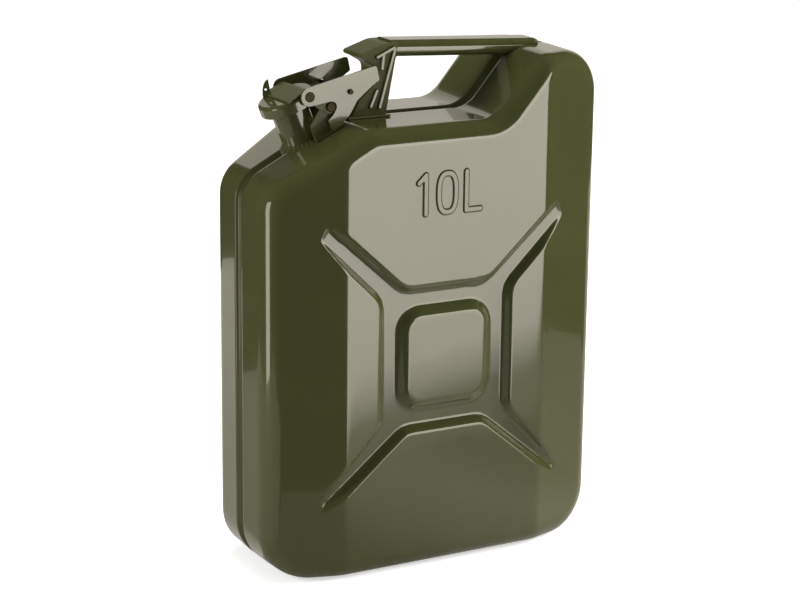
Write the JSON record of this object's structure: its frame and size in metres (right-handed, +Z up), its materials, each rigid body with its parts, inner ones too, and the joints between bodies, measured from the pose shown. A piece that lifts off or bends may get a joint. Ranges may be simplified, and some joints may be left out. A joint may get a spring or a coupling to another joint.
{
  "type": "fuel can",
  "caption": "Pressed steel fuel can of two welded half shells, with a tilted filler neck, a cam lever cap, a bar handle and a cross pressed into each big face.",
  "frame": {"origin": "middle of the can's footprint, on the ground plane", "axes": "+Z up; +X along the width from the filler neck to the hump; +Y through the depth, across the weld seam"},
  "size_m": [0.284, 0.122, 0.3965],
  "materials": {
    "green_paint": "gloss",
    "painted_weld": "gloss",
    "plated_steel": "satin",
    "tinned_steel": "satin",
    "rubber": "matte"
  },
  "bodies": {
    "can": {"shell_near": "green_paint", "shell_far": "green_paint", "seam_weld": "painted_weld", "neck_tube": "green_paint", "neck_lip": "green_paint", "neck_collar": "painted_weld", "breather_tube": "tinned_steel", "breather_clip": "tinned_steel", "handle_bar": "green_paint", "handle_strut": "green_paint", "strut_foot_plate": "green_paint", "handle_weld": "painted_weld", "strut_weld": "painted_weld", "closure_bracket": "green_paint", "hinge_pin": "plated_steel"},
    "cap": {"cap_shell": "green_paint", "cap_gasket": "rubber", "gasket_retainer": "plated_steel", "retainer_rivet": "plated_steel", "cap_bridge": "green_paint", "seal_lug": "green_paint"},
    "lever": {"lever": "green_paint", "lever_rivets": "plated_steel"},
    "safety_pin": {"safety_pin": "plated_steel"}
  },
  "joints": [
    {"name": "cap_hinge", "type": "hinge", "parent": "can", "child": "cap", "pos_m": [-0.07789, 0, 0.353], "axis": [0, 1, 0], "range_deg": [0, 95]},
    {"name": "lever_pivot", "type": "hinge", "parent": "cap", "child": "lever", "pos_m": [-0.09529, 0, 0.36166], "axis": [0, 1, 0], "range_deg": [-150, 0]},
    {"name": "safety_pin_slide", "type": "slide", "parent": "lever", "child": "safety_pin", "axis": [0, 1, 0], "range_m": [0, 0.055]}
  ],
  "couplings": [
    {"joint": "lever_pivot", "follows": "cap_hinge", "ratio": -1.5789}
  ]
}
